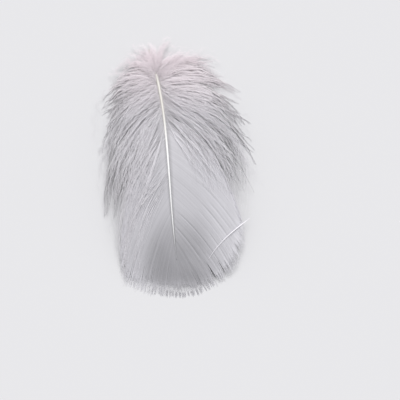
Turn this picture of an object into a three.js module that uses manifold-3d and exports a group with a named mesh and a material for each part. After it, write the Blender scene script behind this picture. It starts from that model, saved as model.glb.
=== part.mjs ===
// A light grey goose body feather, lying on a surface with its rounded outer side up.
//
// A feather is one shaft with a row of barbs down each side. The bare end of the shaft is the
// quill. The first barbs are loose down, and the rest hook together into a smooth web, the vane.
// Each side strips off the shaft as one piece of down and one piece of vane, so the parts are the
// shaft, two sprays of down and two vanes.
//
// Millimetres. +Z is up and the surface is z = 0. The quill points along +Y, the vane's tip along
// -Y, and +X is to the right as seen from above. The origin is under the middle of the feather.

import * as THREE from "three";
import { mergeVertices } from "three/addons/utils/BufferGeometryUtils.js";
import Module from "manifold-3d";

// The midline, from the quill's end over the arch to the end of the vane, as a cubic Bezier.
const QUILL_END = new THREE.Vector3(-12.9, 56, 0.32);
const ARCH_NEAR = new THREE.Vector3(-0.9, 22, 13);
const ARCH_FAR = new THREE.Vector3(-5.0, -14, 24);
const TIP_END = new THREE.Vector3(2.4, -56, -4);

// The share of the midline where the barbs start and where the shaft ends.
const FIRST_BARB = 0.092;
const SHAFT_STOP = 0.862;

// The shaft's radius at shares of its own length.
const SHAFT_RADII = [
  [0, 0.42],
  [0.035, 0.8],
  [0.14, 0.76],
  [0.45, 0.52],
  [0.8, 0.3],
  [1, 0.16],
];
const SHAFT_SQUARENESS = 0.07; // how far the four sides of the horny rod are flattened
const SHAFT_GROOVE = 0.16; // depth of the groove under it, as a share of its radius
const QUILL_HOLE_RADIUS = 0.24;
const QUILL_HOLE_DEPTH = 2.2;

// A row of barbs is counted from 0 at the quill to 1 at the shaft's tip. Each list gives where the
// tips of the barbs at those places lie, seen from above.
const DOWN_TIPS_RIGHT = [
  [0.0, 2.6, 55.4],
  [0.05, 18.0, 48.0],
  [0.1, 29.0, 34.0],
  [0.16, 34.5, 16.0],
  [0.21, 34.2, 1.0],
  [0.236, 32.4, -10.5],
  [0.252, 27.6, -9.0],
];
const DOWN_TIPS_LEFT = [
  [0.0, -20.0, 54.6],
  [0.05, -30.0, 43.0],
  [0.1, -34.0, 29.0],
  [0.16, -34.5, 9.0],
  [0.21, -33.2, -10.0],
  [0.236, -31.0, -21.0],
  [0.252, -26.4, -17.0],
];
const VANE_TIPS_RIGHT = [
  [0.262, 22.4, -5.0],
  [0.34, 26.8, -14.5],
  [0.44, 30.2, -25.0],
  [0.53, 30.2, -33.5],
  [0.604, 27.8, -40.4],
  [0.738, 22.8, -46.6],
  [0.855, 15.8, -51.9],
  [0.93, 9.8, -55.0],
  [1.0, 2.75, -56.2],
];
const VANE_TIPS_LEFT = [
  [0.262, -19.0, -5.0],
  [0.34, -22.2, -16.0],
  [0.44, -24.6, -28.0],
  [0.53, -25.8, -39.0],
  [0.62, -23.6, -49.0],
  [0.7, -18.8, -52.4],
  [0.79, -12.4, -54.8],
  [0.89, -5.6, -55.9],
  [1.0, 2.05, -56.2],
];

// Where the web has parted: the barb it follows, the share of that barb it takes, its half width.
const SPLITS_RIGHT = [
  [0.7, 0.34, 0.016],
  [0.86, 0.16, 0.014],
];
const SPLITS_LEFT = [
  [0.585, 0.18, 0.013],
  [0.84, 0.2, 0.014],
];

// How far the barb at a place in the row bends from a straight line, as a share of its length.
const BARB_BOWS = [
  [0, 0.15],
  [0.25, 0.12],
  [0.5, 0.06],
  [0.75, 0.05],
  [1, 0],
];
const CUP_REACH = [26, 32]; // left and right of the midline, where the two shares below hold
const VANE_CUP = 0.55; // share of the arch's height that the vane has lost there
const DOWN_CUP = 1.3; // the same for the limp down nearest the quill
const DOWN_CUP_FADE = [0.1, 0.25]; // places in the row between which down gets as stiff as the vane
const PRESS = 1.2; // over this height a barb that meets the surface bends to lie along it
const PRESS_SINK = 0.05; // how far the pressed layer's middle is let down onto the surface
const VANE_THICKNESS = [0.36, 0.24]; // at the shaft and at the edge
const DOWN_THICKNESS = 2.6; // in the middle of a spray
const DOWN_EDGE_THICKNESS = 0.5;
const CLEARANCE = 0.3; // between neighbouring pieces

const SHAFT_SIDES = 14;
const SHAFT_STEPS = 44;
const SHAFT_CROWDING = 1.25; // above 1, the steps are closer together near the quill's end
const HOLE_SIDES = 8;
const VANE_GRID = [60, 8]; // along the shaft, along a barb
const DOWN_GRID = [20, 9];
const NARROWEST_STEP = 0.3; // steps along the shaft keep this share of a step from a split's edges
const HALVINGS = 30; // enough to find a place on the midline to a millionth of a millimetre

const HORN = { color: 0xe9e3cf, roughness: 0.38, metalness: 0 };
const WEB = { color: 0xc3c2c8, roughness: 0.7, metalness: 0 };
const FLUFF = { color: 0xd2cbd1, roughness: 0.95, metalness: 0 };

const wasm = await Module();
wasm.setup();

const midline = new THREE.CubicBezierCurve3(QUILL_END, ARCH_NEAR, ARCH_FAR, TIP_END);
const shareOfRow = (place) => THREE.MathUtils.lerp(FIRST_BARB, SHAFT_STOP, place);

// Reads a list of [position, value] rows at a position, straight between rows.
function read(rows, at) {
  const next = Math.max(1, rows.findIndex((row) => row[0] >= at));
  const [a, b] = [rows[next - 1], rows[next]];
  return THREE.MathUtils.mapLinear(at, a[0], b[0], a[1], b[1]);
}

const shaftRadius = (share) => read(SHAFT_RADII, Math.min(share / SHAFT_STOP, 1));

// The midline's share at a given Y, by halving: Y falls all the way from the quill to the tip.
function shareAt(y) {
  let [low, high] = [0, 1];
  for (let step = 0; step < HALVINGS; step += 1) {
    const middle = (low + high) / 2;
    if (midline.getPoint(middle).y > y) low = middle;
    else high = middle;
  }
  return (low + high) / 2;
}

// Bends a height that would go below the surface so that it runs along it.
const pressed = (z) => (z + Math.hypot(z, PRESS)) / 2 - PRESS_SINK;

// Height of the middle layer of the barb at that place over a point seen from above: the midline's
// arch, less the cup, which grows with the square of the distance from the midline.
function layerHeight(place, x, y) {
  const middle = midline.getPoint(shareAt(y));
  const across = (x - middle.x) / CUP_REACH[x < middle.x ? 0 : 1];
  const stiffness = THREE.MathUtils.smoothstep(place, ...DOWN_CUP_FADE);
  const cup = THREE.MathUtils.lerp(DOWN_CUP, VANE_CUP, stiffness);
  return pressed(middle.z * (1 - cup * across * across));
}

// Where the tips of the barbs lie, as a smooth curve through the listed points.
function tipCurve(rows) {
  const points = rows.map(([, x, y]) => new THREE.Vector3(x, y, 0));
  const curve = new THREE.CatmullRomCurve3(points, false, "centripetal");
  const shares = rows.map(([place], row) => [place, row / (rows.length - 1)]);
  const last = rows[rows.length - 1][0];
  return (place) => curve.getPoint(read(shares, Math.min(place, last)));
}

// A point on the barb at that place in the row, at a share of its length, seen from above. A barb
// is a quadratic Bezier from the shaft's side to its tip, bowed towards the quill.
function barbPoint(tips, side, place, along) {
  const share = shareOfRow(place);
  const tangent = midline.getTangent(share).setZ(0).normalize();
  const sideways = new THREE.Vector3(-tangent.y * side, tangent.x * side, 0);
  const root = midline.getPoint(share).setZ(0);
  root.addScaledVector(sideways, shaftRadius(share) + CLEARANCE);
  const tip = tips(place);
  const chord = tip.clone().sub(root);
  const outward = new THREE.Vector3(-chord.y * side, chord.x * side, 0).normalize();
  const bow = new THREE.Vector3().addVectors(root, tip).multiplyScalar(0.5);
  bow.addScaledVector(outward, 2 * read(BARB_BOWS, place) * chord.length());
  return new THREE.QuadraticBezierCurve3(root, bow, tip).getPoint(along);
}

// Share of a barb's length that is left where the web has parted.
function reachOf(splits, place) {
  const depths = splits.map(([at, depth, half]) => {
    return depth * Math.max(0, 1 - Math.abs(place - at) / half);
  });
  return 1 - Math.max(0, ...depths);
}

// The walls between rings of points of equal length, one after the other, and their two end caps.
// cap gives the triangles that close one ring of that many points.
function loft(rings, cap) {
  const sides = rings[0].length;
  const positions = rings.flat().flatMap((point) => [point.x, point.y, point.z]);
  const index = [];
  for (let ring = 0; ring < rings.length - 1; ring += 1) {
    for (let side = 0; side < sides; side += 1) {
      const a = ring * sides + side;
      const b = ring * sides + ((side + 1) % sides);
      index.push(a, b, b + sides, a, b + sides, a + sides);
    }
  }
  const lastRing = (rings.length - 1) * sides;
  cap(sides).forEach(([a, b, c]) => {
    index.push(c, b, a, lastRing + a, lastRing + b, lastRing + c);
  });
  return solidOf(positions, index);
}

// Closes a round ring with a fan of triangles from its first point.
function fan(sides) {
  return Array.from({ length: sides - 2 }, (_, i) => [0, i + 1, i + 2]);
}

// Closes a flat ring, whose points run out along the top and back along the underside, with
// quads between its two long sides.
function ladder(sides) {
  return Array.from({ length: sides / 2 - 1 }, (_, i) => {
    const [a, b, c, d] = [i, i + 1, sides - 2 - i, sides - 1 - i];
    return a + 1 === c ? [[a, b, d]] : [[a, b, c], [a, c, d]];
  }).flat();
}

// A solid from a closed mesh. A mesh whose faces point in is turned inside out first.
function solidOf(positions, index) {
  const vertProperties = new Float32Array(positions);
  const build = (triVerts) => new wasm.Manifold(new wasm.Mesh({ numProp: 3, vertProperties, triVerts }));
  const made = build(new Uint32Array(index));
  const swapped = Uint32Array.from(index, (_, i) => index[i - (i % 3) + [0, 2, 1][i % 3]]);
  return made.volume() < 0 ? build(swapped) : made;
}

// Cuts off what is below the surface, which leaves the flats that the feather rests on.
function aboveSurface(solid) {
  return solid.trimByPlane([0, 0, 1], 0);
}

function meshOf(name, solid, finish) {
  const { vertProperties, triVerts } = solid.getMesh();
  const geometry = new THREE.BufferGeometry();
  geometry.setAttribute("position", new THREE.BufferAttribute(vertProperties, 3));
  geometry.setIndex(new THREE.BufferAttribute(triVerts, 1));
  geometry.computeVertexNormals();
  const mesh = new THREE.Mesh(geometry, new THREE.MeshStandardMaterial(finish));
  mesh.name = name;
  return mesh;
}

// The small round hole in the quill's end, along the midline.
function makeQuillHole() {
  const drill = new THREE.CylinderGeometry(
    QUILL_HOLE_RADIUS,
    QUILL_HOLE_RADIUS,
    2 * QUILL_HOLE_DEPTH,
    HOLE_SIDES,
  );
  const upright = new THREE.Vector3(0, 1, 0);
  const inward = midline.getTangent(0);
  drill.applyQuaternion(new THREE.Quaternion().setFromUnitVectors(upright, inward));
  drill.translate(QUILL_END.x, QUILL_END.y, QUILL_END.z);
  drill.deleteAttribute("normal");
  drill.deleteAttribute("uv");
  const merged = mergeVertices(drill);
  return solidOf(merged.attributes.position.array, merged.index.array);
}

// The shaft: a round quill that turns into a squarish, tapering rod with a groove under it.
// Its sections are circles, pressed in at four sides and at the groove once the barbs start.
function makeShaft() {
  const rings = Array.from({ length: SHAFT_STEPS + 1 }, (_, step) => {
    const share = SHAFT_STOP * (step / SHAFT_STEPS) ** SHAFT_CROWDING;
    const middle = midline.getPoint(share);
    const tangent = midline.getTangent(share);
    const sideways = new THREE.Vector3(-tangent.y, tangent.x, 0).normalize();
    const upward = new THREE.Vector3().crossVectors(tangent, sideways);
    const angular = THREE.MathUtils.smoothstep(share, FIRST_BARB / 2, FIRST_BARB * 2);
    return Array.from({ length: SHAFT_SIDES }, (_, side) => {
      const turn = (side / SHAFT_SIDES) * 2 * Math.PI - Math.PI / 2;
      const square = 1 - angular * SHAFT_SQUARENESS * Math.cos(4 * turn);
      const groove = side === 0 ? 1 - angular * SHAFT_GROOVE : 1;
      const radius = shaftRadius(share) * square * groove;
      return middle
        .clone()
        .addScaledVector(sideways, radius * Math.cos(turn))
        .addScaledVector(upward, radius * Math.sin(turn));
    });
  });
  const rod = loft(rings, fan).subtract(makeQuillHole());
  return meshOf("quill_shaft", aboveSurface(rod), HORN);
}

// The stations of a layer, as shares of its stretch of the row: evenly spaced, and one at the
// edges and the middle of each split.
function stationsOf(count, splits, first, last) {
  const even = Array.from({ length: count + 1 }, (_, i) => i / count);
  const atSplits = splits.flatMap(([place, , half]) => {
    return [place - half, place, place + half].map((at) => (at - first) / (last - first));
  });
  const nearest = NARROWEST_STEP / count;
  const clear = even.filter((s) => atSplits.every((at) => Math.abs(s - at) > nearest));
  return [...clear, ...atSplits].sort((a, b) => a - b);
}

// One side's barbs along a stretch of the row, as a thin solid layer. thickness gives the layer's
// height at a share of that stretch and a share of the barb.
function makeLayer({ name, tips, side, splits, grid, thickness, finish }) {
  const tipAt = tipCurve(tips);
  const [first, last] = [tips[0][0], tips[tips.length - 1][0]];
  const [count, steps] = grid;
  const rings = stationsOf(count, splits, first, last).map((station) => {
    const place = THREE.MathUtils.lerp(first, last, station);
    const reach = reachOf(splits, place);
    const points = Array.from({ length: steps + 1 }, (_, step) => {
      const along = (step / steps) * reach;
      const point = barbPoint(tipAt, side, place, along);
      const half = thickness(station, along) / 2;
      return { point, height: layerHeight(place, point.x, point.y), half };
    });
    const upper = points.map(({ point, height, half }) => point.clone().setZ(height + half));
    const lower = points.map(({ point, height, half }) => point.clone().setZ(height - half));
    return [...upper, ...lower.reverse()];
  });
  return meshOf(name, aboveSurface(loft(rings, ladder)), finish);
}

// A web is thickest at the shaft.
function vaneThickness(_, along) {
  return THREE.MathUtils.lerp(...VANE_THICKNESS, along);
}

// A spray of down is thickest in its middle.
function downThickness(station, along) {
  const swell = Math.sin(Math.PI * station) * Math.sin(Math.PI * along);
  return DOWN_EDGE_THICKNESS + (DOWN_THICKNESS - DOWN_EDGE_THICKNESS) * swell;
}

const RIGHT = 1;
const LEFT = -1;
const vane = { grid: VANE_GRID, thickness: vaneThickness, finish: WEB };
const down = { grid: DOWN_GRID, thickness: downThickness, finish: FLUFF, splits: [] };

const feather = new THREE.Group();
feather.name = "goose_feather";
feather.add(
  makeShaft(),
  makeLayer({ ...vane, name: "vane_right", side: RIGHT, tips: VANE_TIPS_RIGHT, splits: SPLITS_RIGHT }),
  makeLayer({ ...vane, name: "vane_left", side: LEFT, tips: VANE_TIPS_LEFT, splits: SPLITS_LEFT }),
  makeLayer({ ...down, name: "down_right", side: RIGHT, tips: DOWN_TIPS_RIGHT }),
  makeLayer({ ...down, name: "down_left", side: LEFT, tips: DOWN_TIPS_LEFT }),
);

export default feather;
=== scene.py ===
"""A light grey goose body feather, made as an add-on with one operator for each kind of piece.

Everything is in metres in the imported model's frame: the quill points along +Y, the vane's tip along
-Y, and the surface that the feather lies on is z = 0. A barb is found by its side of the shaft, its
place in the row (0 at the quill, 1 at the shaft's tip) and the share along it (0 at the shaft).
"""

import bpy
import numpy as np
from bpy.props import FloatProperty, FloatVectorProperty, IntProperty, PointerProperty
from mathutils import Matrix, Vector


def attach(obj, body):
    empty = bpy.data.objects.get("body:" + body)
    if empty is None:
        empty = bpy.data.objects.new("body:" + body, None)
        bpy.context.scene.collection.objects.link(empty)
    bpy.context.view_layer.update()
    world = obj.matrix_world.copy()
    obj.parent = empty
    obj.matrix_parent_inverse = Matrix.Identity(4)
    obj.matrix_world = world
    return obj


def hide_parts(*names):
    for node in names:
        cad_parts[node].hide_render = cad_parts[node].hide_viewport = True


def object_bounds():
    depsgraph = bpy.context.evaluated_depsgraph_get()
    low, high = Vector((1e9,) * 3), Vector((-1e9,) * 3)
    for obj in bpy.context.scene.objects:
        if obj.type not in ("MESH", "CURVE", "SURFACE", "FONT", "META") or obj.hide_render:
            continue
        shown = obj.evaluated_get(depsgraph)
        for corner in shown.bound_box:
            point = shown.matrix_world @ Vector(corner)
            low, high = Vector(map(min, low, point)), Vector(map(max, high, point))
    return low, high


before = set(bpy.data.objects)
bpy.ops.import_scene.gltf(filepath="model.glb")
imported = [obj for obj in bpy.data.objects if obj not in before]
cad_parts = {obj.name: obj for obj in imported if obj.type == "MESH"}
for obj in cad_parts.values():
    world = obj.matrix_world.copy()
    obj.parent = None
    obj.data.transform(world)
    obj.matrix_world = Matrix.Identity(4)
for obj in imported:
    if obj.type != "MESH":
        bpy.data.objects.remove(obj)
CAD_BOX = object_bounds()

bl_info = {
    "name": "Goose Body Feather",
    "version": (1, 0, 0),
    "blender": (4, 5, 0),
    "location": "3D View > Sidebar > Feather",
    "description": "Makes a goose body feather from its shaft, webs, fringes and down",
    "category": "Add Mesh",
}

MM = 0.001
BODY = "root"

# The midline, from the quill's end over the arch to the end of the vane: a cubic Bezier's corners.
MIDLINE = MM * np.array([(-12.9, 56, 0.32), (-0.9, 22, 13), (-5, -14, 24), (2.4, -56, -4)])
# The midline's shares where the first barb grows and where the shaft stops.
FIRST_BARB = 0.092
SHAFT_STOP = 0.862
# The shaft's radius in mm at shares of its own length.
SHAFT_RADII = np.array([(0, 0.42), (0.035, 0.8), (0.14, 0.74), (0.45, 0.48), (0.8, 0.26), (1, 0.15)])
# Barbs start at this share of the shaft's radius.
ROOT_DEPTH = 0.7

# Rows of: place in the row, and where the tip of the barb there lies, seen from above, in mm. The
# threads, the down's bright strands, sweep further back over the webs than the rest of the down.
DOWN_TIPS = {
    "right": [
        (0, 2.6, 55.4), (0.05, 18, 48), (0.1, 29, 34), (0.16, 34.5, 16), (0.21, 34.2, 1),
        (0.236, 32.4, -10.5), (0.252, 27.6, -9),
    ],
    "left": [
        (0, -20, 54.6), (0.05, -30, 43), (0.1, -34, 29), (0.16, -34.5, 9), (0.21, -33.2, -10),
        (0.236, -31, -21), (0.252, -26.4, -17),
    ],
}
THREAD_TIPS = {
    "right": [
        (0, 4, 54), (0.05, 22, 41), (0.1, 32, 21), (0.16, 34.5, 5), (0.21, 33.6, -5),
        *DOWN_TIPS["right"][-2:],
    ],
    "left": [
        (0, -20, 54), (0.05, -31, 34), (0.1, -34, 14), (0.16, -34, -3), (0.21, -32.6, -15),
        *DOWN_TIPS["left"][-2:],
    ],
}
VANE_TIPS = {
    "right": [
        (0.262, 22.4, -5), (0.34, 26.8, -14.5), (0.44, 30.2, -25), (0.53, 30.2, -33.5),
        (0.604, 27.8, -40.4), (0.738, 22.8, -46.6), (0.855, 15.8, -51.9), (0.93, 9.8, -55),
        (1, 2.5, -56.2),
    ],
    "left": [
        (0.262, -19, -5), (0.34, -22.2, -16), (0.44, -24.6, -28), (0.53, -25.8, -39),
        (0.62, -23.6, -49), (0.7, -18.8, -52.4), (0.79, -12.4, -54.8), (0.89, -5.6, -55.9),
        (1, 2.3, -56.2),
    ],
}
# How far the barb at a place bends from a straight line, as a share of its length.
BARB_BOWS = np.array([(0, 0.15), (0.25, 0.12), (0.5, 0.06), (0.75, 0.05), (1, 0)])

# How the barbs' layer falls from the arch: the reach at which a cup of 1 brings it down to the
# surface, the cup of the vane and of the down, the places in the row between which one turns into
# the other, and the height over which the layer bends to lie along the surface.
CUP_REACH = {"left": 26 * MM, "right": 32 * MM}
VANE_CUP = 0.55
DOWN_CUP = 1.3
DOWN_CUP_FADE = (0.1, 0.25)
PRESS = 1.2 * MM
PRESS_SINK = 0.05 * MM
# The least height of anything, of the webs' middle lines, and of the loose barbs'.
LOWEST = 0.01 * MM
WEB_LOWEST = 0.14 * MM
LOOSE_LOWEST = 0.15 * MM

SIDES = {"right": 1, "left": -1}
UPWARD = np.array([0.0, 0.0, 1.0])
# Tilted a little, so that no hair runs exactly along it.
NEARLY_UPWARD = UPWARD + 0.07
# The width and the height of a strand's or a hair's ring, as shares of its radius.
FLATTENED = np.array([1, 0.45])
# Where each kind of piece's random numbers start, by side or by spray.
SEEDS = {"web": 11, "fringe": 23, "down": 31, "sprays": 71}


# ---- the feather's own coordinates


def smoothstep(value, low, high):
    """0 below low, 1 above high, and 3t^2 - 2t^3 of the share t in between."""
    share = np.clip((value - low) / (high - low), 0, 1)
    return share * share * (3 - 2 * share)


def unit(vectors):
    """The vectors divided by their lengths."""
    return vectors / np.maximum(np.linalg.norm(vectors, axis=-1, keepdims=True), 1e-12)


def bezier(corners, share):
    """A cubic Bezier: its corners weighted by (1-t)^3, 3t(1-t)^2, 3t^2(1-t) and t^3."""
    t = np.asarray(share, float)[..., None]
    a, b, c, d = corners
    return a * (1 - t) ** 3 + 3 * b * t * (1 - t) ** 2 + 3 * c * t * t * (1 - t) + d * t**3


def midline(share):
    """Points of the midline."""
    return bezier(MIDLINE, share)


def midline_tangent(share):
    """The unit derivative of the midline's cubic Bezier."""
    t = np.asarray(share, float)[..., None]
    a, b, c, d = MIDLINE
    return unit((b - a) * (1 - t) ** 2 + 2 * (c - b) * t * (1 - t) + (d - c) * t * t)


LINE = midline(np.linspace(0, 1, 1201))


def shaft_radius(share):
    """The shaft's radius at a share of the midline."""
    return MM * np.interp(np.clip(share / SHAFT_STOP, 0, 1), *SHAFT_RADII.T)


def share_of_row(place):
    """The midline's share at a place in the row of barbs."""
    return FIRST_BARB + (SHAFT_STOP - FIRST_BARB) * place


def on_layer(place, plan):
    """Points seen from above, brought to the height of the barbs' layer: the arch's height at that
    y, less the cup, which grows with the square of the distance from the midline, then bent to lie
    along the surface."""
    x, y = plan[..., 0], plan[..., 1]
    middle_x = np.interp(-y, -LINE[:, 1], LINE[:, 0])
    middle_z = np.interp(-y, -LINE[:, 1], LINE[:, 2])
    reach = np.where(x < middle_x, CUP_REACH["left"], CUP_REACH["right"])
    cup = DOWN_CUP + (VANE_CUP - DOWN_CUP) * smoothstep(place, *DOWN_CUP_FADE)
    z = middle_z * (1 - cup * ((x - middle_x) / reach) ** 2)
    return np.stack([x, y, (z + np.hypot(z, PRESS)) / 2 - PRESS_SINK], -1)


def tip_of(rows, place):
    """Where barb tips lie: through the rows by cubic Hermite pieces, with the rows' own slopes."""
    rows = np.array(rows, float)
    slopes = np.gradient(rows[:, 1:], rows[:, 0], axis=0)
    piece = np.clip(np.searchsorted(rows[:, 0], place) - 1, 0, len(rows) - 2)
    step = (rows[piece + 1, 0] - rows[piece, 0])[..., None]
    t = (place - rows[piece, 0])[..., None] / step
    start = (1 + 2 * t) * (1 - t) ** 2 * rows[piece, 1:] + t * (1 - t) ** 2 * step * slopes[piece]
    end = t * t * (3 - 2 * t) * rows[piece + 1, 1:] - t * t * (1 - t) * step * slopes[piece + 1]
    return MM * (start + end)


def barb_plan(side, place, tips, along, bow_gain=1.0):
    """Points of barbs seen from above: quadratic Beziers from the shaft's side to the tips, whose
    middle corner is moved sideways, towards the quill, by twice the bow times the length."""
    sign = SIDES[side]
    share = share_of_row(place)
    heading = unit(midline_tangent(share)[:, :2])
    sideways = sign * np.stack([-heading[:, 1], heading[:, 0]], -1)
    root = midline(share)[:, :2] + sideways * ROOT_DEPTH * shaft_radius(share)[:, None]
    chord = tips - root
    outward = sign * np.stack([-chord[:, 1], chord[:, 0]], -1)
    bow = 2 * np.interp(place, *BARB_BOWS.T) * bow_gain
    corner = root + chord / 2 + outward * bow[:, None]
    t = along[..., None]
    ends = root[:, None] * (1 - t) ** 2 + tips[:, None] * t * t
    return ends + 2 * corner[:, None] * t * (1 - t)


# ---- strands and meshes


def frames(paths, upward):
    """Unit across and up vectors along paths of points: across is square to the path and to the
    given upward vectors, and up is square to both."""
    tangent = unit(np.gradient(paths, axis=-2))
    across = unit(np.cross(upward, tangent))
    return across, np.cross(tangent, across)


def sweep(paths, across, up, rings):
    """Strand surfaces: at each station of each path, the ring's first number times the across
    vector plus its second times the up vector. Paths are (strand, station, 3), and rings are
    (.., ring point, 2), for each station or for each strand and station."""
    sideways = rings[..., :1] * across[:, :, None]
    return paths[:, :, None] + sideways + rings[..., 1:] * up[:, :, None]


def flat_rings(radius):
    """Rings of three points evenly round circles of the given radii, then flattened."""
    turn = np.arange(3) / 3 * 2 * np.pi + np.pi / 2
    circle = np.stack([np.cos(turn), np.sin(turn)], -1)
    return radius[..., None, None] * circle * FLATTENED


def mesh_from_arrays(name, vertices, faces):
    """A mesh object from vertex places and a list of arrays of faces, each of one corner count."""
    mesh = bpy.data.meshes.new(name)
    mesh.vertices.add(len(vertices))
    mesh.vertices.foreach_set("co", vertices.astype(np.float32).ravel())
    loops = np.concatenate([group.ravel() for group in faces])
    corners = np.concatenate([np.full(len(group), group.shape[1]) for group in faces])
    mesh.loops.add(len(loops))
    mesh.loops.foreach_set("vertex_index", loops.astype(np.int32))
    mesh.polygons.add(len(corners))
    mesh.polygons.foreach_set("loop_start", (np.cumsum(corners) - corners).astype(np.int32))
    mesh.update(calc_edges=True)
    piece = bpy.data.objects.new(name, mesh)
    bpy.context.scene.collection.objects.link(piece)
    return piece, loops


class Strands:
    """Closed strands, gathered into one mesh: a row of numbers for each vertex, and the faces."""

    def __init__(self):
        self.rows, self.faces, self.count = [], [], 0

    def add(self, rings, along, tone, map_width, tips=None):
        """Adds strands of rings, (strand, station, ring point, 3): quads join neighbouring rings
        and a cap closes the first. The last is closed by a cap, or by triangles to a point where
        tips are given. Along and tone are numbers for each strand and station, and the map width
        is how wide a strand lies on the map. A row holds place, along, tone and place on the map."""
        strands, stations, sides, _ = rings.shape
        ring = np.arange(sides)
        following = (ring + 1) % sides
        pointed = tips is not None
        firsts = self.count + np.arange(strands)[:, None] * (stations * sides + pointed)
        starts = firsts[..., None] + np.arange(stations - 1)[:, None] * sides
        quads = [starts + ring, starts + following, starts + following + sides]
        self.faces.append(np.stack([*quads, starts + ring + sides], -1).reshape(-1, 4))
        self.faces.append(firsts + ring[::-1])
        last = firsts + (stations - 1) * sides
        numbers = np.stack(np.broadcast_arrays(along, tone, rings[:, :, 0, 0])[:2], -1)
        numbers = np.repeat(numbers[:, :, None], sides, 2)
        rows = np.concatenate([rings, numbers, map_places(rings, map_width)], -1)
        rows = rows.reshape(strands, stations * sides, -1)
        if pointed:
            ends = np.broadcast_to(last + sides, (strands, sides))
            self.faces.append(np.stack([last + ring, last + following, ends], -1).reshape(-1, 3))
            points = np.concatenate([tips, rows[:, -1, 3:5], on_map(tips[:, :2])], -1)
            rows = np.concatenate([rows, points[:, None]], 1)
        else:
            self.faces.append(last + ring)
        self.rows.append(rows.reshape(-1, rows.shape[-1]))
        self.count += len(self.rows[-1])

    def mesh_object(self, name, smooth):
        """The gathered strands as a mesh object, with its map and its numbers for materials."""
        rows = np.concatenate(self.rows)
        rows[:, 2] = np.maximum(rows[:, 2], LOWEST)
        rows = rows.astype(np.float32)
        piece, loops = mesh_from_arrays(name, rows[:, :3], self.faces)
        mesh = piece.data
        mesh.polygons.foreach_set("use_smooth", np.full(len(mesh.polygons), smooth))
        for column, attribute in ((3, "along"), (4, "tone")):
            layer = mesh.attributes.new(attribute, "FLOAT", "POINT")
            layer.data.foreach_set("value", rows[:, column].copy())
        mesh.uv_layers.new(name="OFBake").data.foreach_set("uv", rows[loops, 5:].ravel())
        return piece


# The map's margin round the feather, and a turn that keeps a ring's points apart on it.
MAP_MARGIN = 12 * MM
MAP_TURN = 0.4
MAP_CORNER = np.array(CAD_BOX[0])[:2] - MAP_MARGIN
MAP_SPAN = max(np.array(CAD_BOX[1])[:2] + MAP_MARGIN - MAP_CORNER)


def on_map(plan):
    """Points seen from above, scaled so that the feather fills the map from 0 to 1."""
    return (plan - MAP_CORNER) / MAP_SPAN


def map_places(rings, map_width):
    """Each ring point's place on the map: the strand's middle as seen from above, moved across the
    strand by the cosine of the point's turn times half the width that the strand takes there."""
    middle = rings.mean(2)[..., :2]
    heading = unit(middle[:, -1] - middle[:, 0] + 1e-9)
    square = np.stack([-heading[:, 1], heading[:, 0]], -1)[:, None, None]
    turn = np.arange(rings.shape[2]) / rings.shape[2] * 2 * np.pi + MAP_TURN
    offset = np.cos(turn)[:, None] * map_width / 2
    return on_map(middle[:, :, None] + square * offset)


def finish_piece(piece, material, slot, *replaced):
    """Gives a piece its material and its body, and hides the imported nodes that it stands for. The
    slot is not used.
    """
    piece.data.materials.append(material)
    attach(piece, BODY)
    if replaced:
        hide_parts(*replaced)


def wave_noise(rng, places, waves, slowest, fastest):
    """Smooth noise over places of any shape: a sum of sines with random speeds and starts, scaled
    to a spread of about one."""
    speeds = rng.uniform(slowest, fastest, waves) * 2 * np.pi
    starts = rng.uniform(0, 2 * np.pi, waves)
    return np.sin(places[..., None] * speeds + starts).sum(-1) * np.sqrt(2 / waves)


# ---- materials


class Wire:
    """A shader socket that can be used in sums: each operator adds its Math node."""

    def __init__(self, finish, socket):
        self.finish, self.socket = finish, socket

    def math(self, operation, *values):
        return self.finish.node("ShaderNodeMath", {"operation": operation}, dict(enumerate(values)))

    def __add__(self, other):
        return self.math("ADD", self, other)

    def __sub__(self, other):
        return self.math("SUBTRACT", self, other)

    def __rsub__(self, other):
        return self.math("SUBTRACT", other, self)

    def __mul__(self, other):
        return self.math("MULTIPLY", self, other)

    def __abs__(self):
        return self.math("ABSOLUTE", self)

    # Sums and products are the same either way round.
    __radd__ = __add__
    __rmul__ = __mul__

    def smooth(self, low, high):
        """0 below low, 1 above high, and a smooth step in between."""
        settings = {"interpolation_type": "SMOOTHSTEP"}
        sockets = {"Value": self, "From Min": low, "From Max": high}
        return self.finish.node("ShaderNodeMapRange", settings, sockets)


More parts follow.
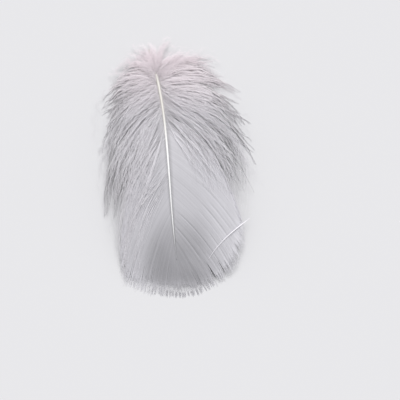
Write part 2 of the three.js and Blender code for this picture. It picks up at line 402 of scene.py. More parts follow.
class Finish:
    """A node material around one Principled shader."""

    def __init__(self, name, **constants):
        self.material = bpy.data.materials.new(name)
        self.material.use_nodes = True
        self.tree = self.material.node_tree
        self.shader = next(n for n in self.tree.nodes if n.type == "BSDF_PRINCIPLED")
        for socket, value in constants.items():
            self.shader.inputs[socket.replace("_", " ")].default_value = value

    def node(self, kind, settings, sockets, out=0):
        """Adds a node: its settings first, then a value or a wire for each named socket."""
        made = self.tree.nodes.new(kind)
        for setting, value in settings.items():
            setattr(made, setting, value)
        for name, value in sockets.items():
            found = made.inputs[name]
            if isinstance(value, Wire):
                self.tree.links.new(value.socket, found)
            else:
                found.default_value = value
        return Wire(self, made.outputs[out])

    def feed(self, socket, wire):
        """Links a wire to one of the Principled shader's sockets."""
        self.tree.links.new(wire.socket, self.shader.inputs[socket])

    def coordinate(self, axis):
        """One of the object's own coordinates, in metres."""
        place = self.node("ShaderNodeTexCoord", {}, {}, out="Object")
        return self.node("ShaderNodeSeparateXYZ", {}, {"Vector": place}, out=axis)

    def number(self, attribute):
        """A number that the mesh holds for each vertex."""
        return self.node("ShaderNodeAttribute", {"attribute_name": attribute}, {}, out="Fac")

    def noise(self, scale, detail):
        """Noise from 0 to 1 over the object's own coordinates."""
        place = self.node("ShaderNodeTexCoord", {}, {}, out="Object")
        sockets = {"Vector": place, "Scale": scale, "Detail": detail}
        return self.node("ShaderNodeTexNoise", {}, sockets)

    def mix(self, share, first, second):
        """The first colour at share 0, the second at share 1."""
        return self.node("ShaderNodeMix", {"data_type": "RGBA"}, {0: share, 6: first, 7: second}, 2)

    def shade(self, colour, factor):
        """A colour made lighter or darker: every channel times the factor."""
        grey = self.node("ShaderNodeCombineColor", {}, {0: factor, 1: factor, 2: factor})
        settings = {"data_type": "RGBA", "blend_type": "MULTIPLY", "clamp_result": True}
        return self.node("ShaderNodeMix", settings, {0: 1.0, 6: colour, 7: grey}, 2)


def opaque(colour):
    """A setting's colour with full alpha."""
    return (*colour, 1)


def horn_finish(settings):
    """Ivory keratin, creamier towards the quill and whiter further on, with faint streaks. Its last
    stretch turns as grey as the web."""
    horn = Finish("ivory_horn", Roughness=0.4, IOR=1.5, Coat_Weight=0.15, Coat_Roughness=0.3)
    along = horn.number("along")
    whiter = along.smooth(0.28, 0.55)
    colour = horn.mix(whiter, opaque(settings.quill_colour), opaque(settings.middle_colour))
    colour = horn.mix(along.smooth(0.84, 0.98), colour, opaque(settings.tip_colour))
    streaks = horn.noise(900.0, 3.0)
    horn.feed("Base Color", horn.shade(colour, 0.9 + streaks * 0.2))
    horn.feed("Roughness", 0.34 + streaks * 0.14)
    return horn.material


def web_finish(settings):
    """Grey barbs: darker in the middle of the vane's lower end, partly by their own colour and partly
    by painted shade where the arch slopes away from the key light, with a painted shadow at the shaft.
    They are paler towards the edges and at the loose ends, with a slow mottle and a tone of each
    barb's own, which also holds painted light and shade along the creases."""
    web = Finish("grey_web", Roughness=0.6, Sheen_Weight=0.15, Sheen_Roughness=0.4, IOR=1.45)
    towards_quill = web.coordinate("Y").smooth(-5 * MM, 34 * MM)
    colour = web.mix(towards_quill, opaque(settings.web_colour), opaque(settings.base_colour))
    # The lower middle is darker, partly as the barbs' own colour and partly as painted shade where the
    # arch slopes away from the key light.
    low = 1 - web.coordinate("Y").smooth(-36 * MM, -14 * MM)
    outer = abs(web.coordinate("X") - 1 * MM).smooth(7 * MM, 21 * MM)
    along = web.number("along")
    factor = 1 + outer * 0.1 - settings.middle_tone_and_shade * (low * (1 - outer))
    mottle = (web.noise(70.0, 3.0) - 0.5) * 0.08
    loose_end = along.smooth(0.8, 0.97) * 0.26
    # Painted shadow: the barbs darken right beside the shaft.
    painted_shadow_at_shaft = (1 - along.smooth(0.0, 0.05)) * 0.32
    # The tone is each barb's own, plus the painted light and shade along the creases.
    factor = factor + mottle + web.number("tone") * 0.12 + loose_end - painted_shadow_at_shaft
    web.feed("Base Color", web.shade(colour, factor))
    return web.material


def fluff_finish(name, settings, at_vane, at_quill, root_shade, tip_shade=0.0):
    """Pale down, faintly pink at the quill and cool grey towards the vane, with a brightness for each
    end, a slow mottle and a tone of each plume's own. Away from the quill it is darker at the roots
    and at the tips, by the last two numbers. This is painted shade at the roots, where the strands
    crowd near the shaft, and at the outer tips."""
    fluff = Finish(name, Roughness=0.8, Sheen_Weight=0.6, Sheen_Roughness=0.5, IOR=1.4)
    towards_quill = fluff.coordinate("Y").smooth(20 * MM, 54 * MM)
    colour = fluff.mix(towards_quill, opaque(settings.vane_colour), opaque(settings.quill_colour))
    mottle = (fluff.noise(110.0, 2.0) - 0.5) * 0.1
    brightness = at_vane + towards_quill * (at_quill - at_vane)
    brightness = brightness + mottle + fluff.number("tone") * 0.07
    along = fluff.number("along")
    # Painted shade, away from the quill: darker at the roots near the shaft and at the outer tips.
    darker = (1 - along.smooth(0.0, 0.22)) * root_shade + along.smooth(0.35, 0.8) * tip_shade
    brightness = brightness - darker * (1 - towards_quill)
    fluff.feed("Base Color", fluff.shade(colour, brightness))
    return fluff.material


def floor_finish(settings):
    """Plain pale matt floor."""
    floor = Finish("pale_floor", Roughness=0.9, Specular_IOR_Level=0.0)
    floor.shader.inputs["Base Color"].default_value = opaque(settings.floor_colour)
    return floor.material


# ---- the vane

# Where the webs have parted: the place in the row, the share of the barb, and the opening in mm.
PARTINGS = {
    "right": [
        (0.81, 0.42, 1.4), (0.745, 0.34, 1.1), (0.645, 0.2, 0.9), (0.9, 0.14, 0.6), (0.47, 0.2, 0.5),
    ],
    "left": [
        (0.585, 0.2, 0.9), (0.84, 0.2, 0.8), (0.7, 0.12, 0.5), (0.36, 0.4, 0.8), (0.45, 0.3, 0.7),
    ],
}
# Fine creases: the place in the row, the shares of the barb where it starts and stops, and its depth.
# A crease's depth also sets the painted light and painted shade that its barbs' tone carries.
CREASES = {
    "right": [
        (0.745, 0.05, 1, 0.9), (0.83, 0, 0.65, 0.8), (0.63, 0.28, 1, 1), (0.585, 0.35, 0.8, 0.9),
        (0.545, 0.42, 0.85, 1), (0.5, 0.3, 0.9, 0.7), (0.68, 0.5, 1, 1), (0.42, 0.35, 0.85, 0.6),
        (0.775, 0.6, 1, 0.7), (0.92, 0.5, 1, 0.5),
    ],
    "left": [
        (0.62, 0.1, 1, 0.9), (0.5, 0.3, 1, 0.7), (0.77, 0.35, 0.95, 0.8), (0.56, 0.45, 1, 1),
        (0.4, 0.2, 0.8, 0.6), (0.66, 0.5, 1, 0.9), (0.71, 0.6, 1, 0.6), (0.9, 0.4, 0.9, 0.6),
    ],
}
# How far along the row a parting pushes the barbs aside, and half of a crease's width in the row.
PARTING_REACH = 0.035
CREASE_WIDTH = 0.0045
# A barb's usual length, and how many mm its tip stands out or back by.
USUAL_LENGTH = 28 * MM
RAGGED = 0.35
# A blade of the web: its wings' width as a share of half the gap and their limits, its rib's half
# width, and how far one wing is raised and the other lowered, as a share of the rib's height.
WING_OVERLAP = 1.14
WING_LIMITS = (0.14 * MM, 0.62 * MM)
RIB_HALF = 0.045 * MM
BLADE_TILT = 0.35
# The fine hairs at the barbs' loose ends.
FRINGE = {
    "first": 0.86, "turn": 0.5, "lean": 9, "lean_spread": 5, "length": 2.4 * MM, "radius": 0.022 * MM,
}


def web_directions(points):
    """Unit vectors of a grid of barbs by stations: across the barb, towards the quill on the right
    and towards the tip on the left, and up out of the web. Also half the gap to the next barb."""
    tangent = unit(np.gradient(points, axis=1))
    onward = np.gradient(points, axis=0)
    up = unit(np.cross(tangent, onward))
    up = up * np.sign(up[..., 2:])
    across = unit(np.cross(up, tangent))
    return across, np.cross(tangent, across), np.abs(np.sum(onward * across, -1)) / 2


def parted(side, place, along):
    """How far each point of the web has moved along the row, in metres: away from each parting,
    by half its opening at the tips, less with the distance from it in the row and from the tips."""
    moved = np.zeros(along.shape)
    for at, depth, opening in PARTINGS[side]:
        away = np.sign(place - at) * np.exp(-np.abs(place - at) / PARTING_REACH)
        moved += away[:, None] * opening / 2 * MM * smoothstep(along, 1 - depth, 1.05) ** 1.3
    return moved


def creased(side, place, along):
    """How strongly each point of the web is lit (positive) or shaded (negative) by creases: a
    bump on the tip's side of each crease less the same bump on the quill's side."""
    line = np.zeros(along.shape)
    for at, start, stop, depth in CREASES[side]:
        away = ((place - at) / CREASE_WIDTH)[:, None]
        ends = smoothstep(along, start, start + 0.12)
        ends *= 1 - smoothstep(along, stop - 0.12, stop + 0.01)
        line += depth * ends * (np.exp(-((away - 0.8) ** 2)) - np.exp(-((away + 0.8) ** 2)))
    return line


def tufted(rng, place, along, half_gap):
    """How far loose tips have drawn together: towards the middle of a tuft of two to six barbs, by
    a share of the distance that grows from none inside the web to a half at the tips."""
    sizes = rng.integers(2, 7, len(place))
    ends = np.cumsum(sizes)
    tuft = np.searchsorted(ends, np.arange(len(place)), side="right")
    middle = ends[tuft] - sizes[tuft] / 2 - 0.5
    distance = (middle - np.arange(len(place)))[:, None] * 2 * half_gap
    return distance * 0.5 * smoothstep(along, 0.85, 1.02)


def web_paths(side, settings):
    """The barbs' middle lines as a grid of barbs by stations, with half the gap between them and
    how creased they are: even barbs on the web's layer, a little ragged at the tips, then parted,
    tufted and waved by noise, sideways and up and down."""
    rng = np.random.default_rng(SEEDS["web"] + SIDES[side])
    rows = VANE_TIPS[side]
    barbs = settings.barbs
    place = np.linspace(rows[0][0], rows[-1][0], barbs)
    along = np.linspace(0, 1, settings.stations) ** 0.85 * np.ones((barbs, 1))
    ragged = 1 + rng.normal(0, RAGGED, barbs) * MM / USUAL_LENGTH
    tips = tip_of(rows, place)
    roots = midline(share_of_row(place))[:, :2]
    plan = barb_plan(side, place, roots + (tips - roots) * ragged[:, None], along)
    points = on_layer(place[:, None], plan)
    across, _, half_gap = web_directions(points)
    towards_tip = -SIDES[side] * across
    crease = creased(side, place, along)
    ripple = wave_noise(rng, place[:, None] + along * 0.12, waves=9, slowest=6, fastest=34)
    slow = wave_noise(rng, place[:, None] * 0.6 + along * 0.5, waves=5, slowest=1, fastest=4)
    shift = parted(side, place, along) + tufted(rng, place, along, half_gap)
    shift += ripple * 0.03 * MM * smoothstep(along, 0.1, 0.9)
    points += towards_tip * shift[..., None]
    joined = 1 - smoothstep(place, 0.9, 1)[:, None]
    lift = 0.02 * ripple * smoothstep(along, 0.05, 0.5)
    lift += 0.22 * slow * smoothstep(along, 0, 0.4) * joined
    lift += 0.05 * crease + smoothstep(along, 0.86, 1) * rng.uniform(-0.1, 0.4, (barbs, 1))
    points[..., 2] = np.maximum(points[..., 2] + lift * MM, WEB_LOWEST)
    return rng, place, along, points, half_gap, crease


def web_strands(side, settings):
    """One side's web. Each barb is a closed blade: a raised rib with a thin wing on each side that
    reaches just past half way to the next barb, the wing towards the tip a little higher. Blades
    are rolled a few degrees about their length, by noise and by the creases."""
    rng, place, along, points, half_gap, crease = web_paths(side, settings)
    across, up, _ = web_directions(points)
    roll = 1.2 * wave_noise(rng, place, waves=7, slowest=12, fastest=60)
    roll += rng.normal(0, 1.4, len(place))
    roll = np.radians(roll[:, None] + 14 * crease)[..., None]
    across, up = across * np.cos(roll) + up * np.sin(roll), up * np.cos(roll) - across * np.sin(roll)
    length = np.linalg.norm(np.diff(points, axis=1), axis=-1).sum(1)[:, None]
    loose = settings.fringe * rng.uniform(0.6, 1.35, (len(place), 1))
    narrow = 0.1 + 0.9 * smoothstep((1 - along) * length, 0, loose) ** 1.3
    wing = np.clip(half_gap, *WING_LIMITS) * WING_OVERLAP * narrow
    rib = np.minimum(RIB_HALF, wing * 0.45) * (1 - 0.4 * along)
    high = (0.055 - 0.02 * along) * MM
    beside = np.stack([wing, rib, -rib, -wing, -rib, rib], -1)
    tilt = SIDES[side] * BLADE_TILT
    above = np.array([-tilt, 1, 1, tilt, -1, -1]) * high[..., None]
    rings = np.stack([beside, above], -1)
    strands = Strands()
    # Each barb's own tone, plus painted light on the tip's side of each crease and painted shade on
    # the quill's side.
    tone = rng.normal(0, 0.3, (len(place), 1)) + 1.3 * crease
    strands.add(sweep(points, across, up, rings), along, tone, 0.5 * MM)
    return strands, points


class FEATHER_OT_vane(bpy.types.Operator):
    """Makes the two webs, barb by barb, with their loose ends, in place of the vane's solids"""

    bl_idname = "feather.vane"
    bl_label = "Vane"

    def execute(self, context):
        settings = context.scene.feather_vane
        material = web_finish(settings)
        for side in SIDES:
            strands, points = web_strands(side, settings)
            rng = np.random.default_rng(SEEDS["fringe"] + SIDES[side])
            tone = rng.normal(0.3, 0.5, len(points))
            hairs(strands, rng, points, tone, count=settings.fringe_hairs, **FRINGE)
            piece = strands.mesh_object(f"web_{side}", smooth=False)
            finish_piece(piece, material, "web", f"vane_{side}")
        return {"FINISHED"}


# ---- the shaft

# The points of a ring of the shaft, and the rings of the shaft, of its lip and of its bore.
SHAFT_SIDES = 36
SHAFT_RINGS = 300
LIP_RINGS = 7
BORE_RINGS = 6
BORE_DEPTH = 2.2 * MM


def shaft_rings(bore):
    """The shaft's rings and their shares along it. Each is a circle of the shaft's radius, drawn in
    past the first barbs by a cosine of four turns, to a rounded square, and by a bell curve
    underneath, to a groove. A lip of half a cosine wave leads from the quill's end into the bore."""
    turn = np.arange(SHAFT_SIDES) / SHAFT_SIDES * 2 * np.pi - np.pi / 2
    circle = np.stack([np.cos(turn), np.sin(turn)], -1)
    share = SHAFT_STOP * np.linspace(0, 1, SHAFT_RINGS) ** 1.2
    angular = smoothstep(share, FIRST_BARB / 2, FIRST_BARB * 2)[:, None]
    below = np.angle(np.exp(1j * (turn + np.pi / 2)))
    radius = shaft_radius(share)[:, None] * (1 - angular * 0.06 * np.cos(4 * turn))
    radius = radius * (1 - angular * 0.24 * np.exp(-((below / 0.3) ** 2)))
    heading = midline_tangent(share)
    path = midline(share)

    lip = np.linspace(0, 1, LIP_RINGS)[:, None]
    lip_radius = bore + (radius[0] - bore) * (0.5 - 0.5 * np.cos(np.pi * lip))
    lip_path = path[0] - heading[0] * 0.06 * MM * np.sin(np.pi * lip)
    bore_path = path[0] + heading[0] * np.linspace(BORE_DEPTH, 0.05 * MM, BORE_RINGS)[:, None]
    bore_radius = np.full((BORE_RINGS, SHAFT_SIDES), bore)
    inner = BORE_RINGS + LIP_RINGS
    paths = np.concatenate([bore_path, lip_path, path[1:]])
    radii = np.concatenate([bore_radius, lip_radius, radius[1:]])
    headings = np.concatenate([np.repeat(heading[:1], inner, 0), heading[1:]])
    across = unit(np.cross(UPWARD, headings))
    up = np.cross(headings, across)
    along = np.concatenate([np.zeros(inner), share[1:] / SHAFT_STOP])
    return sweep(paths[None], across[None], up[None], radii[..., None] * circle), along


class FEATHER_OT_shaft(bpy.types.Operator):
    """Makes the quill and shaft, with its bore and its groove, in place of the shaft's solid"""

    bl_idname = "feather.shaft"
    bl_label = "Shaft"

    def execute(self, context):
        settings = context.scene.feather_shaft
        rings, along = shaft_rings(settings.bore)
        strands = Strands()
        strands.add(rings, along, 0.0, 2 * MM)
        piece = strands.mesh_object("shaft_horn", smooth=True)
        finish_piece(piece, horn_finish(settings), "horn", "quill_shaft")
        return {"FINISHED"}


# ---- down and loose barbs


def along_paths(values, share):
    """Reads (strand, station, 3) values at (strand, n) shares, straight between stations."""
    spots = share * (values.shape[1] - 1)
    before = np.clip(spots.astype(int), 0, values.shape[1] - 2)
    within = (spots - before)[..., None]
    rows = np.arange(len(values))[:, None]
    return values[rows, before] * (1 - within) + values[rows, before + 1] * within


def hairs(strands, rng, paths, tone, count, length, radius, lean, lean_spread, turn,
          first=0.03, bend=0.0, wander=0.0):
    """Fine hairs down both sides of each path, from its share first on, in degrees of lean from it,
    in planes that turn about it at random. They are longest in the middle, by the root of a sine.
    Each is a spike of three sides. Where bend is given, it has a second half, thinner by 0.3, which
    turns back towards the path's tip and wanders."""
    strand = len(paths)
    share = (np.arange(count) + rng.uniform(0, 1, (strand, count))) / count
    share = first + (0.995 - first) * share
    root = along_paths(paths, share)
    heading = unit(along_paths(np.gradient(paths, axis=1), share))
    level = unit(np.cross(heading, UPWARD))
    steep = np.cross(level, heading)
    side = np.where(np.arange(count) % 2, 1, -1)
    angle = rng.normal(0, turn, (strand, count))
    out = (np.cos(angle) * side)[..., None] * level + np.sin(angle)[..., None] * steep
    swell = 0.35 + 0.65 * np.sin(np.pi * share**0.75) ** 0.5
    size = (length * swell * rng.uniform(0.6, 1.25, (strand, count)))[..., None]
    lean = np.radians(rng.normal(lean, lean_spread, (strand, count)))[..., None]
    way = np.cos(lean) * heading + np.sin(lean) * out
    if bend:
        second = unit(way + bend * heading + rng.normal(0, wander, (strand, count, 3)))
        stations = np.stack([root, root + way * size / 2], 2)
        tips = stations[:, :, 1] + second * size / 2
    else:
        stations = root[:, :, None]
        tips = root + way * size
    stations[..., 2] = np.maximum(stations[..., 2], LOWEST + 2 * radius)
    tips[..., 2] = np.maximum(tips[..., 2], LOWEST + radius)
    stations = stations.reshape(strand * count, -1, 3)
    across, up = frames(np.stack([root, root + way], 2).reshape(-1, 2, 3), NEARLY_UPWARD)
    many = stations.shape[1]
    ring = flat_rings(radius * np.array([1, 0.7])[:many])
    rings = sweep(stations, across[:, :many], up[:, :many], ring)
    tones = np.repeat(tone, count)[:, None]
    strands.add(rings, share.reshape(-1, 1), tones, 0.12 * MM, tips.reshape(-1, 3))


def stalks(strands, paths, radius, tone):
    """The stalks that carry the hairs: of three sides, swelling from half as thick at the root
    and tapering to a sixth at the tip. Those that grow at the quill are up to 0.55 thinner."""
    share = np.linspace(0, 1, paths.shape[1])
    across, up = frames(paths, UPWARD)
    swell = 0.5 + 0.5 * smoothstep(share, 0, 0.3)
    thin = 1 - 0.55 * smoothstep(paths[:, 0, 1], 28 * MM, 46 * MM)
    wide = radius * swell * (1 - 0.84 * share**1.3) * thin[:, None]
    strands.add(sweep(paths, across, up, flat_rings(wide)), share, tone[:, None], 0.3 * MM)


def blades(strands, paths, tone):
    """Thin flat blades along the paths, in place of barbules too fine to tell apart: diamonds, that
    widen over the first fifth of the barb and narrow to a tenth over its last half."""
    share = np.linspace(0, 1, paths.shape[1])
    across, up = frames(paths, UPWARD)
    half = MAT_WIDE * smoothstep(share, -0.05, 0.2) * (0.1 + 0.9 * (1 - smoothstep(share, 0.5, 0.98)))
    thin = np.full(half.shape, MAT_THIN)
    flat = np.zeros(half.shape)
    beside = np.stack([half, flat, -half, flat], -1)
    above = np.stack([flat, thin, flat, -thin], -1)
    rings = sweep(paths, across, up, np.stack([beside, above], -1))
    strands.add(rings, share, tone[:, None], 0.5 * MM)


def in_bundles(rng, count, size, freedom):
    """Random numbers with a spread of one that are nearly alike within bundles of neighbours."""
    shared = rng.normal(0, 1, count // size + 1)[np.arange(count) // size]
    return shared * np.sqrt(1 - freedom**2) + rng.normal(0, freedom, count)


def loose_paths(rng, side, rows, count, lift, wave, bundle, layer=None, bow=(1.0, 0.35), curl=0.0,
                stretch=(0.86, 0.1), scatter=1.2, wave_length=11, freedom=0.4, stations=48):
    """Paths of loose barbs in bundles: the rows' own paths, with a mean and a spread for stretch
    and bow, their tips scattered, waved by sines that grow towards the tip, by the curl more at the
    quill, and lifted by the lift's first number plus a random share of the rest, which arches over
    the barb. Layer is the place in the row whose height they lie at, if not each its own. Lengths
    are in mm."""
    place = np.sort(rng.uniform(rows[0][0], rows[-1][0], count))
    along = np.linspace(0, 1, stations) * np.ones((count, 1))

    def varied(middle, spread):
        return middle + spread * in_bundles(rng, count, bundle, freedom)

    tips = tip_of(rows, place)
    tips += scatter * MM * np.clip(np.stack([varied(0, 1), varied(0, 1)], -1), -1.3, 1.3)
    roots = midline(share_of_row(place))[:, :2]
    reach = np.clip(varied(*stretch), 0.3, 1.03)[:, None]
    bows = np.clip(varied(*bow), -0.3, 3)
    plan = barb_plan(side, place, roots + (tips - roots) * reach, along, bows)
    paths = on_layer(place[:, None] if layer is None else layer, plan)
    across, _ = frames(paths, UPWARD)
    length = np.linalg.norm(np.diff(paths, axis=1), axis=-1).sum(1)
    waves = (length / MM / wave_length * np.clip(varied(1, 0.25), 0.5, 1.5))[:, None] * 2 * np.pi
    start = [varied(0, 2.5)[:, None] for _ in range(3)]
    wide = wave * (1 + curl * (1 - smoothstep(place, 0.05, 0.2)))[:, None]
    grow = smoothstep(along, 0.05, 0.9) * wide * MM * rng.uniform(0.5, 1.5, (count, 1))
    sideways = np.sin(waves * along + start[0]) + 0.4 * np.sin(2.1 * waves * along + start[1])
    paths += across * (sideways * grow)[..., None]
    share = np.clip(varied(0.5, 0.3), 0, 1)[:, None]
    arched = (lift[1] - lift[0]) * share * np.sin(np.pi * along**0.8) ** 0.7
    paths[..., 2] += (lift[0] * smoothstep(along, 0, 0.2) + arched) * MM
    paths[..., 2] += 0.4 * (1 + np.sin(0.8 * waves * along + start[2])) * grow
    paths[..., 2] = np.maximum(paths[..., 2], LOOSE_LOWEST)
    return paths


# How a plume looks: its stalk's radius, and its hairs.
HAZE = (0.03 * MM, {
    "count": 270, "length": 2.3 * MM, "radius": 0.018 * MM, "lean": 50, "lean_spread": 10,
    "turn": 0.6, "bend": 0.45, "wander": 0.18,
})
THREAD = (0.12 * MM, {
    "count": 80, "length": 0.8 * MM, "radius": 0.022 * MM, "lean": 22, "lean_spread": 9, "turn": 0.8,
})
FINE = (0.12 * MM, {
    "count": 90, "length": 0.5 * MM, "radius": 0.02 * MM, "lean": 14, "lean_spread": 6, "turn": 0.7,
})

# The paths of a spray of down's flat matted barbs and of its threads, and half of the width and
# half of the thickness of a matted barb.
MATS = {"lift": (-0.9, 0.2), "wave": 0.3, "bundle": 2, "stations": 24}
MAT_WIDE = 0.5 * MM
MAT_THIN = 0.03 * MM
THREADS = {
    "wave": 0.45, "bundle": 2, "curl": 2.4, "bow": (1, 0.9), "scatter": 3, "wave_length": 8,
    "stretch": (0.84, 0.12), "freedom": 0.6,
}

# A stray barb that lies over the right web: the corners of its cubic Bezier seen from above, how
# far it lies above the web's layer, its stations, its tone and its look.
STRAY = MM * np.array([(33, -20.4), (27, -25), (19.6, -29.8), (14.4, -38.8)])
STRAY_LIFT = 0.6 * MM
STRAY_STATIONS = 60
STRAY_TONE = 3.5
STRAY_LOOK = (0.3 * MM, {
    "count": 260, "length": 0.45 * MM, "radius": 0.02 * MM, "lean": 16, "lean_spread": 6, "turn": 0.9,
})

# What both sides' sprays share: near the shaft, at the margins, and round the quill, which the
# crown's plumes and the wisps partly hide.
NEAR = {"wave": 0.35, "layer": 0.3, "wave_length": 12}
MARGIN = {"wave": 0.35, "bundle": 5, "wave_length": 14, "bow": (1, 0.6), "scatter": 2}
CROWN = {"lift": (0.6, 3.4), "wave": 1, "bundle": 2, "layer": 0.1}
WISPS = {"lift": (0.8, 3), "wave": 1.1, "bundle": 2, "layer": 0.1, "wave_length": 8}

# Sprays of loose barbs over the webs and the quill: the side, the number, the look, and the paths.
SPRAYS = {
    # Over the right web's upper margin and beside it.
    "margin_right": ("right", 84, THREAD, {
        "rows": [(0.1, 33, 8), (0.14, 34, -2), (0.18, 33, -12), (0.22, 31, -20), (0.262, 27.5, -17),
                 (0.3, 22, -9)],
        "lift": (0.5, 2.2), "layer": 0.22, **MARGIN,
    }),
    # Over the left web's upper half and along its edge.
    "margin_left": ("left", 84, THREAD, {
        "rows": [(0.1, -32, 14), (0.15, -33, -2), (0.2, -32, -20), (0.26, -30, -34),
                 (0.33, -28.8, -44), (0.4, -25.5, -40)],
        "lift": (0.5, 1.8), "layer": 0.24, **MARGIN,
    }),
    # Short wisps over both webs near the shaft.
    "near_left": ("left", 50, FINE, {
        "rows": [(0.08, -17, 10), (0.12, -13, 0), (0.18, -11, -5), (0.26, -13, -11), (0.34, -18, -19)],
        "lift": (0.5, 1.5), "bundle": 4, "bow": (1.9, 0.9), **NEAR,
    }),
    "near_right": ("right", 40, FINE, {
        "rows": [(0.12, 9, 12), (0.16, 8, 5), (0.21, 9, -1), (0.27, 14, -7), (0.33, 21, -15)],
        "lift": (0.4, 1), "bundle": 3, "bow": (1.5, 0.8), **NEAR,
    }),
    # Long fine strands over the left web's lower part.
    "low_left": ("left", 50, FINE, {
        "rows": [(0.3, -26, -36), (0.4, -27, -44), (0.5, -25, -49), (0.62, -19, -53)],
        "lift": (0.3, 0.7), "wave": 0.25, "bundle": 4, "layer": 0.5, "scatter": 1.5,
        "stretch": (0.95, 0.06), "bow": (1.6, 0.7),
    }),
    "crown_left": ("left", 18, HAZE, {
        "rows": [(0, -9, 57), (0.02, -15, 58.5), (0.05, -25, 58), (0.1, -32, 46)], **CROWN,
    }),
    "crown_right": ("right", 20, HAZE, {
        "rows": [(0, -14, 56.5), (0.02, -8, 57.5), (0.05, 4, 60), (0.1, 23, 51)], **CROWN,
    }),
    "wisps_left": ("left", 18, FINE, {
        "rows": [(0, -9, 57), (0.02, -15, 58.5), (0.04, -24, 57), (0.08, -30, 49)], **WISPS,
    }),
    "wisps_right": ("right", 24, FINE, {
        "rows": [(0, -14, 56.5), (0.02, -8, 58), (0.04, 3, 60), (0.08, 18, 56)], **WISPS,
    }),
}


def plumes(name, rng, paths, tone, look, material, *replaced):
    """Makes one piece from stalks along the paths with a look's hairs."""
    radius, shape = look
    strands = Strands()
    stalks(strands, paths, radius, tone)
    hairs(strands, rng, paths, tone, **shape)
    finish_piece(strands.mesh_object(name, smooth=False), material, "fluff", *replaced)


class FEATHER_OT_down(bpy.types.Operator):
    """Makes the two sprays of down, each a soft haze under crisp strands, in place of its solid"""

    bl_idname = "feather.down"
    bl_label = "Down"

    def execute(self, context):
        settings = context.scene.feather_down
        haze = fluff_finish(
            "soft_fluff", settings, at_vane=0.76, at_quill=0.89, root_shade=0.0, tip_shade=0.24
        )
        bright = fluff_finish("bright_fluff", settings, at_vane=0.79, at_quill=0.9, root_shade=0.1)
        depth = settings.depth / MM
        for side in SIDES:
            rng = np.random.default_rng(SEEDS["down"] + SIDES[side])
            rows = DOWN_TIPS[side]
            mat = Strands()
            paths = loose_paths(rng, side, rows, settings.mats, **MATS)
            blades(mat, paths, rng.normal(0, 0.7, len(paths)))
            finish_piece(mat.mesh_object(f"down_{side}_mat", smooth=True), haze, "fluff")
            lift = (-0.5, depth)
            paths = loose_paths(rng, side, rows, settings.plumes, lift, wave=0.5, bundle=2)
            tone = rng.normal(0, 0.7, len(paths))
            plumes(f"down_{side}_haze", rng, paths, tone, HAZE, haze, f"down_{side}")
            lift = (0.3 * depth, depth + 0.8)
            paths = loose_paths(rng, side, THREAD_TIPS[side], settings.threads, lift, **THREADS)
            tone = rng.normal(0.4, 0.6, len(paths))
            plumes(f"down_{side}_threads", rng, paths, tone, THREAD, bright)
        return {"FINISHED"}


class FEATHER_OT_sprays(bpy.types.Operator):
    """Makes the loose barbs that lie over the webs and along their margins"""

    bl_idname = "feather.sprays"
    bl_label = "Loose barbs"

    def execute(self, context):
        settings = context.scene.feather_down
        material = fluff_finish("loose_barbs", settings, at_vane=0.8, at_quill=0.9, root_shade=0.2)
        for number, (name, (side, count, look, shape)) in enumerate(SPRAYS.items()):
            rng = np.random.default_rng(SEEDS["sprays"] + number)
            paths = loose_paths(rng, side, count=count, **shape)
            plumes(f"loose_{name}", rng, paths, rng.normal(0.4, 0.6, count), look, material)
        path = on_layer(1.0, bezier(STRAY, np.linspace(0, 1, STRAY_STATIONS)))
        path[:, 2] += STRAY_LIFT
        plumes("loose_stray", rng, path[None], np.array([STRAY_TONE]), STRAY_LOOK, material)
        return {"FINISHED"}


# ---- the stage

# What the camera takes in: its width in pixels, the mm to a pixel at the feather's mean height, and
# the point under its middle.
VIEW_PIXELS = 400
MM_PER_PIXEL = 0.444
MEAN_HEIGHT = 11 * MM
VIEW_CENTRE = (10.4 * MM, -12.34 * MM)
ROOM_COLOUR = (0.98, 0.985, 1)


class FEATHER_OT_stage(bpy.types.Operator):
    """Makes the pale floor, the soft light and the camera straight above"""

    bl_idname = "feather.stage"
    bl_label = "Stage"

    def execute(self, context):
        settings = context.scene.feather_stage
        scene = context.scene
        scene.view_settings.view_transform = "Standard"
        corners = np.array([(-1, -1, 0), (1, -1, 0), (1, 1, 0), (-1, 1, 0)]) * settings.floor_reach
        floor, _ = mesh_from_arrays("floor", corners, [np.arange(4)[None]])
        floor.data.materials.append(floor_finish(settings))

        world = bpy.data.worlds.new("soft_room")
        world.use_nodes = True
        room = world.node_tree.nodes["Background"]
        room.inputs["Color"].default_value = opaque(ROOM_COLOUR)
        room.inputs["Strength"].default_value = settings.room_light
        scene.world = world

        key = bpy.data.objects.new("key_light", bpy.data.lights.new("key_light", "SUN"))
        key.data.energy = settings.key_light
        key.data.angle = settings.key_softness
        key.rotation_euler = (-settings.key_slant, 0, settings.key_turn)
        scene.collection.objects.link(key)

        camera = bpy.data.objects.new("camera", bpy.data.cameras.new("camera"))
        camera.data.lens = settings.lens
        field = VIEW_PIXELS * MM_PER_PIXEL * MM
        distance = field / camera.data.sensor_width * settings.lens
        camera.location = (*VIEW_CENTRE, MEAN_HEIGHT + distance)
        scene.collection.objects.link(camera)
        scene.camera = camera
        return {"FINISHED"}


# ---- settings, panel, registration


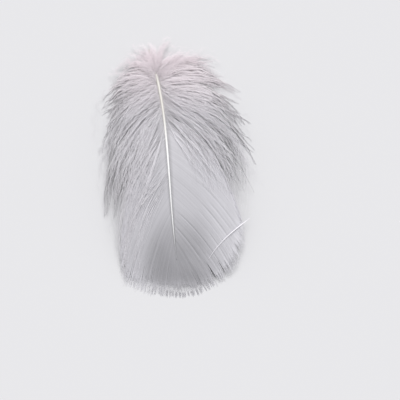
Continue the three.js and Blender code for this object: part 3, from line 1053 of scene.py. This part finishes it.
class VaneSettings(bpy.types.PropertyGroup):
    """Sizes and colours of the two webs."""

    barbs: IntProperty(name="Barbs", description="Barbs on each side", default=168)
    stations: IntProperty(name="Stations", description="Rings along a barb", default=44)
    fringe: FloatProperty(
        name="Fringe", description="Length of the loose ends", default=7 * MM, unit="LENGTH"
    )
    fringe_hairs: IntProperty(name="Fringe hairs", description="Hairs at each barb's end", default=18)
    # The lower middle's darkening: partly the web's own colour, partly painted shade where the vane
    # slopes away from the light.
    middle_tone_and_shade: FloatProperty(
        name="Dark middle", description="How much darker the lower middle is", default=0.26
    )
    web_colour: FloatVectorProperty(
        name="Web", description="Colour of the web", subtype="COLOR", default=(0.496, 0.488, 0.515)
    )
    base_colour: FloatVectorProperty(
        name="Base", description="Colour near the quill", subtype="COLOR", default=(0.53, 0.515, 0.539)
    )


class ShaftSettings(bpy.types.PropertyGroup):
    """Sizes and colours of the shaft."""

    bore: FloatProperty(
        name="Bore", description="Radius of the quill's bore", default=0.24 * MM, unit="LENGTH"
    )
    quill_colour: FloatVectorProperty(
        name="Quill", description="Horn at the quill", subtype="COLOR", default=(0.54, 0.522, 0.485)
    )
    middle_colour: FloatVectorProperty(
        name="Middle", description="Horn past the quill", subtype="COLOR", default=(0.87, 0.865, 0.86)
    )
    tip_colour: FloatVectorProperty(
        name="Tip", description="Horn at the tip", subtype="COLOR", default=(0.41, 0.405, 0.424)
    )


class DownSettings(bpy.types.PropertyGroup):
    """Sizes and colours of the down."""

    plumes: IntProperty(name="Plumes", description="Hazy plumes on a side", default=34)
    mats: IntProperty(name="Mats", description="Flat matted barbs on a side", default=130)
    threads: IntProperty(name="Threads", description="Bright threads a side", default=150)
    depth: FloatProperty(
        name="Depth", description="How high the fluff stands", default=3 * MM, unit="LENGTH"
    )
    quill_colour: FloatVectorProperty(
        name="Quill", description="Down at the quill", subtype="COLOR", default=(0.945, 0.867, 0.9)
    )
    vane_colour: FloatVectorProperty(
        name="Vane", description="Down at the vane", subtype="COLOR", default=(0.87, 0.848, 0.885)
    )


class StageSettings(bpy.types.PropertyGroup):
    """The floor, the light and the camera."""

    floor_reach: FloatProperty(
        name="Floor", description="Half the floor's side", default=4.0, unit="LENGTH"
    )
    floor_colour: FloatVectorProperty(
        name="Floor colour", description="Colour of the floor", subtype="COLOR",
        default=(0.656, 0.653, 0.665),
    )
    room_light: FloatProperty(name="Room", description="Even light", default=0.59)
    key_light: FloatProperty(name="Key", description="Light from one side", default=2.75)
    key_softness: FloatProperty(
        name="Softness", description="Angle that the key light fills", default=0.5, subtype="ANGLE"
    )
    key_slant: FloatProperty(
        name="Slant", description="Key light's angle from the vertical", default=0.72, subtype="ANGLE"
    )
    key_turn: FloatProperty(
        name="Turn", description="Key light's turn about the vertical", default=-0.15, subtype="ANGLE"
    )
    lens: FloatProperty(name="Lens", description="Focal length in mm", default=85.0)


GROUPS = {
    "feather_vane": VaneSettings,
    "feather_shaft": ShaftSettings,
    "feather_down": DownSettings,
    "feather_stage": StageSettings,
}
OPERATORS = (FEATHER_OT_shaft, FEATHER_OT_vane, FEATHER_OT_down, FEATHER_OT_sprays, FEATHER_OT_stage)


class FEATHER_PT_panel(bpy.types.Panel):
    """Lists the feather's settings and the operators that make its pieces"""

    bl_idname = "FEATHER_PT_panel"
    bl_label = "Goose Body Feather"
    bl_space_type = "VIEW_3D"
    bl_region_type = "UI"
    bl_category = "Feather"

    def draw(self, context):
        for operator in OPERATORS:
            self.layout.operator(operator.bl_idname)
        for group, kind in GROUPS.items():
            for name in kind.__annotations__:
                self.layout.prop(getattr(context.scene, group), name)


def register():
    for group, kind in GROUPS.items():
        bpy.utils.register_class(kind)
        setattr(bpy.types.Scene, group, PointerProperty(type=kind))
    for kind in (*OPERATORS, FEATHER_PT_panel):
        bpy.utils.register_class(kind)


def unregister():
    for kind in (FEATHER_PT_panel, *reversed(OPERATORS)):
        bpy.utils.unregister_class(kind)
    for group, kind in GROUPS.items():
        delattr(bpy.types.Scene, group)
        bpy.utils.unregister_class(kind)


def main():
    """Registers the classes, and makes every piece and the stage."""
    register()
    bpy.ops.feather.stage()
    bpy.ops.feather.shaft()
    bpy.ops.feather.vane()
    bpy.ops.feather.down()
    bpy.ops.feather.sprays()


if __name__ == "__main__":
    main()
